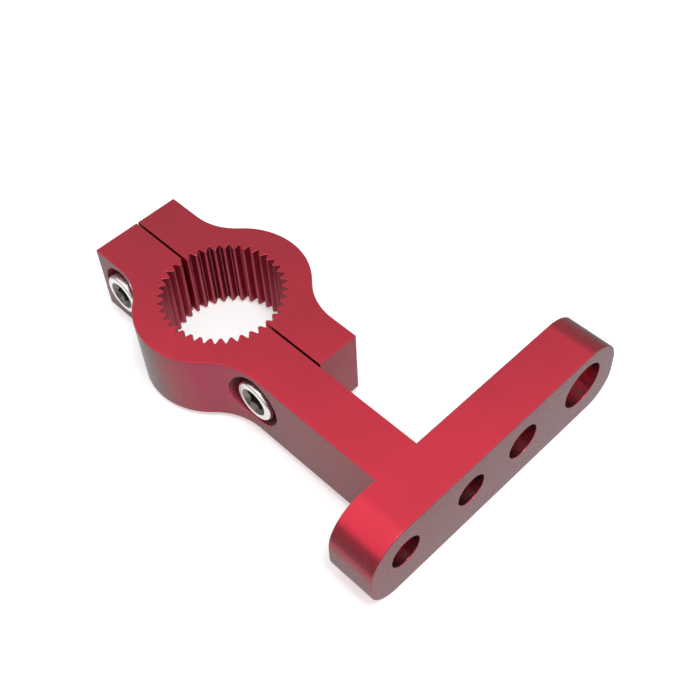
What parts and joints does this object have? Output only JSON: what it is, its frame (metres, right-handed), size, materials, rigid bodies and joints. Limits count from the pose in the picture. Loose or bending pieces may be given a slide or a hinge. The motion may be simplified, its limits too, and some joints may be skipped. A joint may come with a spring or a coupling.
{
  "type": "handlebar clamp bracket",
  "caption": "Split clamp bracket for a handlebar, with a serrated bore, cap screws and an arm that ends in a drilled crossbar.",
  "frame": {"origin": "on the axis of the serrated bore, at the underside of the ring", "axes": "+X from the bore along the arm to the crossbar, +Y from the body to the cap, +Z along the bore"},
  "size_m": [0.0841, 0.0632, 0.0172],
  "materials": {
    "red_anodised": "satin anodised",
    "zinc_steel": "bright zinc"
  },
  "bodies": {
    "root": {"clamp_body": "red_anodised", "clamp_cap": "red_anodised", "clamp_screw_outer": "zinc_steel", "clamp_screw_inner": "zinc_steel"}
  },
  "joints": []
}
